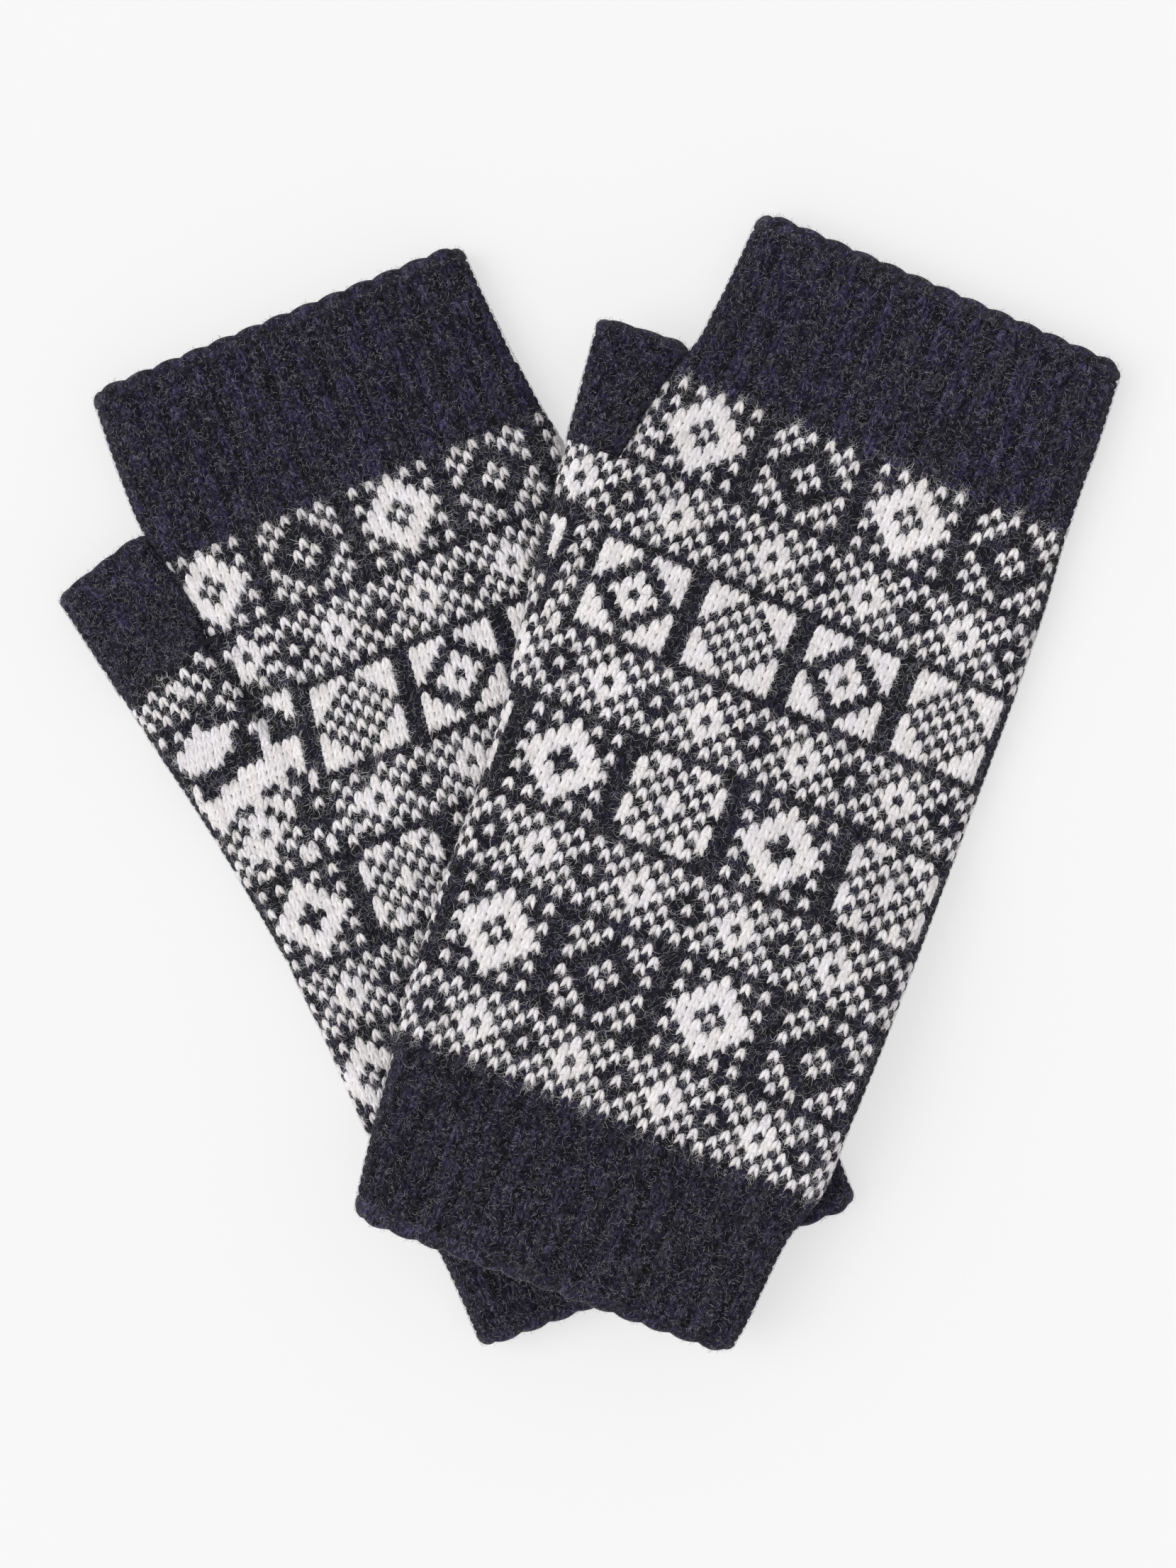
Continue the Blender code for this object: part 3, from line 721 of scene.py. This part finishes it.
def stretched(u, v, column, row):
    """The chart's column and row, where the left glove's increases at its thumb pull the pattern apart."""
    share = np.clip((PULL_EDGE - u) / PULL_WIDTH, 0, 1)
    top, bottom, thumb = 37.6 - 5.4 * share, 23.5 - 10.8 * share, 53.0 - 4.0 * share
    below = 27 + 8 * (bottom - v) / (bottom - PULL_START)
    above = 17.5 - 7.5 * (v - top) / (thumb - top)
    pulled = (u < PULL_EDGE) & (v < thumb) & (v > PULL_START)
    wide = (v > PULL_START) & np.where(u < PULL_EDGE, v < bottom, (u < WIDE_EDGE) & (v < 15.5))
    row = np.where(pulled, np.round(np.where(v > top, above, below)), row)
    column = np.where(wide, np.floor(-5.5 + (u - WIDE_EDGE) / WIDE_STITCH) + 0.5, column)
    return column, row, pulled & (v <= top + 1) & (v >= bottom - 1)


def inside(u, v, corners):
    """Whether points lie in a convex outline, whose corners go clockwise."""
    within = np.ones(len(u), bool)
    for (u0, v0), (u1, v1) in zip(corners, corners[1:] + corners[:1]):
        within &= (u1 - u0) * (v - v0) - (v1 - v0) * (u - u0) <= 0
    return within


# The white parts of the square that the left glove's thumb pulls askew.
ASKEW_SQUARE = [
    [(-58.8, 33.4), (-41.2, 38.6), (-44.4, 29.0), (-55.8, 26.2)],
    [(-55.8, 19.8), (-46.5, 24.0), (-30.0, 28.0), (-30.0, 20.4), (-41.0, 16.8), (-55.2, 13.6)],
    [(-35.8, 36.6), (-28.8, 38.4), (-29.2, 28.6)],
    [(-58.8, 26.6), (-54.2, 22.4), (-56.8, 19.6)],
]
ASKEW_DIAMOND = [(-41.2, 31.0), (-37.6, 34.8), (-34.4, 31.2), (-37.6, 27.2)]


def every_other(column, row):
    return np.mod(column - 0.5 + row, 2) == 0


def side_wedge(u, v, column, row, white):
    """The right glove's pattern beside the hand: a zigzag of white between dark columns, a white wedge, and
    dots that go round the fold."""
    dots = every_other(column, row)
    zigzag = np.mod(row, 2) == np.mod(np.floor((u + 52.2) / 2), 2)
    beside = (v > 18) & (v < 42)
    white = np.where(beside & (u > -55.6) & (u < -48.4), (u > -52.4) & zigzag, white)
    wedge = (v < 39) & (u > -60.2 + 0.38 * (39 - v)) & (v > 27)
    white = np.where(beside & (u < -55.6), wedge | ((v < 25) & dots), white)
    return np.where((u < -46.4) & (v > 57), dots, white)


def thumb_side(u, v, column, row):
    """The left glove's pattern, which its thumb pulls askew: single stitches below the thumb, a square of
    slanting white parts, and navy stitches along the crease, which are painted shade of its fold."""
    column, row, in_square = stretched(u, v, column, row)
    wedges = np.any([inside(u, v, corners) for corners in ASKEW_SQUARE], axis=0)
    diamond = inside(u, v, ASKEW_DIAMOND) & (np.mod(column - 0.5 + row, 3) > 0)
    dots = every_other(column, row) & ((v > 39) | (np.mod(column - 0.5, 4) == 0))
    dots &= v < np.minimum(73.5 + 0.45 * u, 58.8 + 0.17 * u)
    charted = np.where((u < -46) & (v > 37), dots, is_white(column, row))
    # Stitches along the crease are made navy: painted shade where the fabric folds towards the palm.
    painted_crease_shade = (np.abs(u - crease_line(v)) < 1.3) & (v > 36)
    return np.where(in_square, wedges | diamond, charted) & ~painted_crease_shade


def pattern(side, tube, a, v, column, row):
    """Which stitches are white."""
    u = tube.middle(v)[0] + a
    if side == "left":
        return thumb_side(u, v, column, row)
    return side_wedge(u, v, column, row, is_white(column, row))


def grid(tube, side, rows, reach):
    """The stitches over one face of a tube, as far as reach past the middle of its folds."""
    data = GLOVES[side]
    columns, numbers, aa, tt = [], [], [], []
    for row in rows:
        v = float(row_height(side, row))
        flat_left, flat_right = spans_at(tube, v)
        pitch = float(data["stitch"](v))
        low = math.ceil((-flat_left - tube.quarter - reach * pitch) / pitch - 0.5)
        high = math.floor((flat_right + tube.quarter + reach * pitch) / pitch - 0.5)
        k = np.arange(low, high + 1) + 0.5
        columns.append(k)
        numbers.append(np.full(len(k), row))
        aa.append(k * pitch)
        tt.append(np.full(len(k), v))
    column, number, a, t = (np.concatenate(x) for x in (columns, numbers, aa, tt))
    return stitch_set(a, t, data["stitch"](t), data["row_pitch"]) | {"column": column, "number": number}


def stitch_set(a, t, width, row):
    count = len(a)
    zeros = np.zeros(count)
    return {"a": a, "t": t, "width": np.broadcast_to(width, count), "row": np.full(count, row),
            "depth": zeros, "white": np.zeros(count, bool), "tone": zeros, "tint": zeros}


def patches(column, number, rng):
    """A tint that drifts along each column of stitches."""
    columns = (column - column.min()).astype(int)
    rows = (number - number.min()) / PATCH_ROWS
    above = rows.astype(int)
    knots = rng.random((columns.max() + 1, above.max() + 2))
    return knots[columns, above] * (1 - rows + above) + knots[columns, above + 1] * (rows - above)


def part_of(stitches, chosen):
    return {key: values[chosen] for key, values in stitches.items()}


def knit_hand(side, tubes, rng):
    """The patterned fabric: the hand's two faces and the thumb gusset's two."""
    tube, data = tubes["hand"], GLOVES[side]
    hand, gusset = [], []
    for face in FACES:
        back = face == "under"
        stitches = grid(tube, side, range(len(CHART)), REACH[face])
        a, t = stitches["a"], stitches["t"]
        white = pattern(side, tube, a, t, stitches["column"], stitches["number"])
        below = pattern(side, tube, a, t - data["row_pitch"], stitches["column"], stitches["number"] + 1)
        stitches["white"] = white
        stitches["depth"] = np.where(white, WHITE_RISE, 0.0) + (UNDER_DEPTH if back else 0)
        stitches["tone"] = rng.random(len(a))
        stitches["tint"] = patches(stitches["column"], stitches["number"], rng)
        bedded = white & below
        in_gusset = (tube.middle(t)[0] + a < data["inner"](t)) & (t > GUSSET_START)
        for name, pieces, chosen in (("hand", hand, ~in_gusset), ("thumb_gusset", gusset, in_gusset)):
            pieces.append(knit(f"{side}_{name}_{face}_stitches", tube, part_of(stitches, chosen),
                               bedded[chosen], [navy, white_wool], rng, back))
    return hand, gusset


def knit_rib(side, tubes, rng, rows, name, material):
    pieces = []
    for face in FACES:
        back = face == "under"
        stitches = grid(tubes["rib"], side, rows, REACH[face])
        purl = np.mod(stitches["column"] - 0.5, PURL_EVERY) == 0
        beside_hand = (stitches["number"] == -1) | (stitches["number"] == len(CHART))
        stitches["depth"] = np.where(purl, PURL_DEPTH, PLAIN_DEPTH) + JOIN_DEPTH * beside_hand
        stitches["depth"] += UNDER_DEPTH if back else 0
        # Purl stitches get a lower tone: painted shade in the recessed purl columns. The rest of the tone is
        # random.
        stitches["tone"] = np.where(purl, 0.0, 0.5) + np.where(purl, 0.3, 0.5) * rng.random(len(purl))
        stitches["tint"] = patches(stitches["column"], stitches["number"], rng)
        pieces.append(knit(f"{side}_{name}_{face}_stitches", tubes["rib"], stitches, purl & ~beside_hand,
                           [material], rng, back))
    return pieces


def knit_thumb(side, tubes, rng):
    tube, data = tubes["thumb"], GLOVES[side]
    rows = int(1 / tube.unit / data["row_pitch"])
    pieces = []
    for face in FACES:
        back = face == "under"
        columns, numbers = [], []
        for i in range(rows - 1):
            flat_left, _ = spans_at(tube, (i + 0.5) / rows)
            n = int((flat_left + tube.quarter) / THUMB_PITCH + THUMB_REACH[face])
            columns.append(np.arange(-n, n) + 0.5)
            numbers.append(np.full(2 * n, i))
        column, number = np.concatenate(columns), np.concatenate(numbers)
        stitches = stitch_set(column * THUMB_PITCH, (number + 0.5) / rows, THUMB_PITCH, 1 / rows)
        stitches["tint"] = patches(column, number, rng)
        stitches["depth"] = np.full(len(column), PLAIN_DEPTH + (UNDER_DEPTH if back else 0))
        stitches["tone"] = rng.random(len(column))
        nothing = np.zeros(len(column), bool)
        pieces.append(knit(f"{side}_thumb_{face}_stitches", tube, stitches, nothing, [rib_navy], rng, back))
    return pieces


def spread(tube, t_range, count, rng):
    """Random places on a tube's upper face and folds."""
    t = rng.uniform(*t_range, count)
    flat_left, flat_right = tube.spans(t)
    past = tube.quarter + HAIRS_PAST_FOLD
    a = -flat_left - past + (flat_left + flat_right + 2 * past) * rng.random(count)
    return a, t


def hand_fuzz(side, tube, t_range, count, name, rng):
    """Hairs over the pattern, white from white stitches and grey or navy from the others."""
    data = GLOVES[side]
    a, t = spread(tube, t_range, count, rng)
    column = np.floor(a / data["stitch"](t)) + 0.5
    rows = np.arange(len(CHART))
    heights = row_height(side, rows)
    row = rows[::-1][np.clip(np.searchsorted(heights[::-1], t - data["row_pitch"] / 2), 0, len(rows) - 1)]
    white = pattern(side, tube, a, heights[row], column, row)
    colour = np.where(white, WHITE_HAIR, np.where(rng.random(count) < GREY_SHARE, GREY_HAIR, DARK_HAIR))
    return hairs(name, tube, a, t, colour, rng, HAND_HAIR_LENGTH)


def plain_fuzz(tube, t_range, count, name, rng):
    a, t = spread(tube, t_range, count, rng)
    colour = rng.choice([DARK_HAIR, BLUE_HAIR, MARL_HAIR, GREY_HAIR], count, p=PLAIN_FUZZ_SHARES)
    return hairs(name, tube, a, t, colour, rng, PLAIN_HAIR_LENGTH)


def bend_over(piece, side, child, joint):
    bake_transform(piece)


def flat_size(tube, low, high):
    """A tube's fabric laid out flat: its way round and its length, in metres."""
    flat_left, flat_right = spans_at(tube, (low + high) / 2)
    round_the_tube = 2 * (flat_left + flat_right) + math.pi * tube.height
    return round_the_tube * MM, (high - low) / tube.unit * MM


def part_spans(side, tubes):
    """Each part's tube, and where the part starts and ends along it."""
    (low, high), (wrist_end, finger_end) = GLOVES[side]["hand"], GLOVES[side]["ends"]
    return {"hand": (tubes["hand"], low, high), "finger_rib": (tubes["rib"], high, finger_end),
            "wrist_rib": (tubes["rib"], wrist_end, low), "thumb_tube": (tubes["thumb"], 0, 1)}


def make_linings(side, tubes):
    rib, thumb = tubes["rib"], tubes["thumb"]
    (low, high), (wrist_end, finger_end) = GLOVES[side]["hand"], GLOVES[side]["ends"]
    return {
        "hand": lining(side + "_hand_lining", tubes["hand"], low, high, 90),
        "finger_rib": lining(side + "_finger_rib_lining", rib, high, finger_end - LINING_SHORT, 24),
        "wrist_rib": lining(side + "_wrist_rib_lining", rib, wrist_end + LINING_SHORT, low, 24),
        "thumb_tube": lining(side + "_thumb_lining", thumb, 0, THUMB_LINING_END, 18, 40),
    }


def make_rims(side, tubes):
    wrist_end, finger_end = GLOVES[side]["ends"]
    return {
        "finger_rib": rim(side + "_finger_bind_off_edge", tubes["rib"], finger_end, 1),
        "wrist_rib": rim(side + "_wrist_bind_off_edge", tubes["rib"], wrist_end, -1),
        "thumb_tube": rim(side + "_thumb_hem_edge", tubes["thumb"], 1, 1, 80),
    }


def make_stitches(side, tubes, rng):
    """Each part's stitches, and those of the gusset."""
    data = GLOVES[side]
    wrist_end, finger_end = data["ends"]
    rows, row_pitch = len(CHART), data["row_pitch"]
    finger_rows = range(-int((finger_end - RIM_COVER - data["first_row"]) / row_pitch), 0)
    wrist_rows = range(rows, rows + int((row_height(side, rows) - wrist_end - RIM_COVER) / row_pitch) + 1)
    hand, gusset = knit_hand(side, tubes, rng)
    return {
        "hand": hand,
        "finger_rib": knit_rib(side, tubes, rng, finger_rows, "finger_rib", rib_navy),
        "wrist_rib": knit_rib(side, tubes, rng, wrist_rows, "wrist_rib", cuff_navy),
        "thumb_tube": knit_thumb(side, tubes, rng),
    }, gusset


def make_fuzz(side, tubes, rng):
    """Each part's hairs, the hand's in several pieces."""
    (low, high), (wrist_end, finger_end) = GLOVES[side]["hand"], GLOVES[side]["ends"]
    hand, rib, thumb = tubes["hand"], tubes["rib"], tubes["thumb"]
    stops = np.linspace(low, high, HAND_HAIR_PARTS + 1)
    part_hairs = HAND_HAIRS // HAND_HAIR_PARTS
    thumb_hairs = GLOVES[side]["thumb_hairs"]
    return {
        "hand": [hand_fuzz(side, hand, ends, part_hairs, f"{side}_hand_hair_{i}", rng)
                 for i, ends in enumerate(zip(stops, stops[1:]))],
        "finger_rib": [plain_fuzz(rib, (high - 1, finger_end), RIB_HAIRS, side + "_finger_rib_hair", rng)],
        "wrist_rib": [plain_fuzz(rib, (wrist_end, low + 1), RIB_HAIRS, side + "_wrist_rib_hair", rng)],
        "thumb_tube": [plain_fuzz(thumb, (0, 1), thumb_hairs, side + "_thumb_hair", rng)],
    }


RIM_NODES = {"finger_rib": "finger_bind_off", "wrist_rib": "wrist_bind_off", "thumb_tube": "thumb_hem"}
FOLDS = {"left_finger_rib": ("left_finger_rib", "left_finger_rib_fold"),
         "left_thumb_tube": ("left_thumb", "left_thumb_fold"),
         "right_finger_rib": ("right_finger_rib", "right_finger_rib_fold"),
         "right_wrist_rib": ("right_wrist_rib", "right_wrist_cuff_fold"),
         "right_thumb_tube": ("right_thumb", "right_thumb_fold")}


def carry(piece, side, part):
    """Attaches a piece to its glove's body. A piece of a part that folds is only baked in place and isn't
    attached to its joint.
    """
    fold = FOLDS.get(f"{side}_{part}")
    if fold:
        bend_over(piece, side, *fold)
    else:
        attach(piece, side + "_glove")


def make_glove(side, seed):
    tubes = make_tubes(side)
    rng = np.random.default_rng(seed)
    node = side + "_glove_"
    linings, rims = make_linings(side, tubes), make_rims(side, tubes)
    stitches, gusset = make_stitches(side, tubes, rng)
    fuzz = make_fuzz(side, tubes, rng)
    for part in linings:
        for piece in (linings[part], *stitches[part], *fuzz[part]):
            carry(piece, side, part)
        if part in rims:
            carry(rims[part], side, part)
            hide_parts(node + RIM_NODES[part])
        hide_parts(node + part)
    for piece in gusset:
        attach(piece, side + "_glove")
    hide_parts(node + "thumb_gusset")
    seam = seam_yarn(side, tubes["hand"])
    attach(seam, side + "_glove")
    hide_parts(node + "thumb_seam")

    for part, (tube, start, end) in part_spans(side, tubes).items():
        flat_size(tube, start, end)


def seam_yarn(side, tube):
    """Two strands of yarn twisted together, inside the glove where the gusset meets the hand."""
    data = GLOVES[side]
    v = np.linspace(GUSSET_START + 3, data["thumb_root"][1][1] - 2, SEAM_STEPS)
    a = data["inner"](v) - data["middle"](v) + SEAM_INSET
    middle = tube.place(a, v, np.full(len(v), -SKIN_DEPTH - LINING - 2.4 * PLY_RADIUS))
    forward = np.gradient(middle, axis=0)
    forward /= np.linalg.norm(forward, axis=1)[:, None]
    up = np.array([0, 0, 1.0])
    aside = np.cross(forward, up)
    above = np.cross(aside, forward)
    points, faces = [], []
    angle = np.arange(PLY_SIDES) * 2 * math.pi / PLY_SIDES
    ring = np.cos(angle)[None, :, None] * aside[:, None] + np.sin(angle)[None, :, None] * above[:, None]
    for ply in range(2):
        turn = 2 * math.pi * np.arange(len(v)) / SEAM_STEPS * SEAM_TURNS + math.pi * ply
        centre = middle + PLY_RADIUS * (np.cos(turn)[:, None] * aside + np.sin(turn)[:, None] * above)
        points.append((centre[:, None] + 0.96 * PLY_RADIUS * ring).reshape(-1, 3))
        for i in range(len(v) - 1):
            low = (ply * len(v) + i) * PLY_SIDES
            high = low + PLY_SIDES
            for j in range(PLY_SIDES):
                after = (j + 1) % PLY_SIDES
                faces.append((low + j, low + after, high + after, high + j))
    return build_mesh(side + "_thumb_seam_yarn", np.concatenate(points), np.array(faces).ravel(),
                      np.arange(len(faces)) * 4, [edge_navy])


FIRST_SEED = 11
for number, glove_side in enumerate(SIDES):
    make_glove(glove_side, FIRST_SEED + number)


# The table, the light and the view. The table also gives off light of its own, so it's white and its shadows
# are faint.
TABLE_SIZE = 60
TABLE_GREYS = [(0.0, (0.295, 0.295, 0.296)), (1.0, (0.305, 0.305, 0.306))]
TABLE_GLOW = 0.6135
KEY_FROM = (-0.8, 0, 1.0)
KEY_SPREAD = 45
KEY_STRENGTH = 1.55
WORLD_STRENGTH = 0.7
LENS = 90
HEIGHT_SEEN = 345.7
VIEW_CENTRE = (-0.24, -0.23, 8)


def add_stage():
    bpy.ops.mesh.primitive_plane_add(size=TABLE_SIZE)
    floor = bpy.context.object
    floor.name = "table_top"
    material = bpy.data.materials.new("table_white")
    material.use_nodes = True
    tree = material.node_tree
    shader = tree.nodes["Principled BSDF"]
    shader.inputs["Roughness"].default_value = 0.8
    shader.inputs["Specular IOR Level"].default_value = 0.1
    noise = add_node(tree, "ShaderNodeTexNoise", Scale=3.0, Detail=2.0)
    ramp = ramp_node(tree, TABLE_GREYS)
    tree.links.new(noise.outputs["Fac"], ramp.inputs["Fac"])
    tree.links.new(ramp.outputs["Color"], shader.inputs["Base Color"])
    shader.inputs["Emission Color"].default_value = (1, 1, 1, 1)
    shader.inputs["Emission Strength"].default_value = TABLE_GLOW
    floor.data.materials.append(material)


def add_sun(name, source, spread, strength):
    """A soft light from the direction of source. spread is the angle that it fills, in degrees."""
    light = bpy.data.lights.new(name, "SUN")
    light.angle = math.radians(spread)
    light.energy = strength
    obj = bpy.data.objects.new(name, light)
    obj.location = source
    obj.rotation_euler = (-Vector(source)).to_track_quat("-Z", "Y").to_euler()
    bpy.context.collection.objects.link(obj)


def add_world():
    world = bpy.data.worlds.new("studio")
    world.use_nodes = True
    background = world.node_tree.nodes["Background"]
    background.inputs["Color"].default_value = (1, 1, 1, 1)
    background.inputs["Strength"].default_value = WORLD_STRENGTH
    bpy.context.scene.world = world


def add_camera():
    """A camera straight above, which sees HEIGHT_SEEN at the height of the gloves' tops."""
    camera = bpy.data.cameras.new("camera")
    camera.lens = LENS
    obj = bpy.data.objects.new("camera", camera)
    distance = camera.lens / camera.sensor_width * HEIGHT_SEEN
    x, y, z = VIEW_CENTRE
    obj.location = (x * MM, y * MM, (z + distance) * MM)
    bpy.context.collection.objects.link(obj)
    bpy.context.scene.camera = obj


add_stage()
add_sun("key", KEY_FROM, KEY_SPREAD, KEY_STRENGTH)
add_world()
bpy.context.scene.view_settings.view_transform = "Standard"
add_camera()
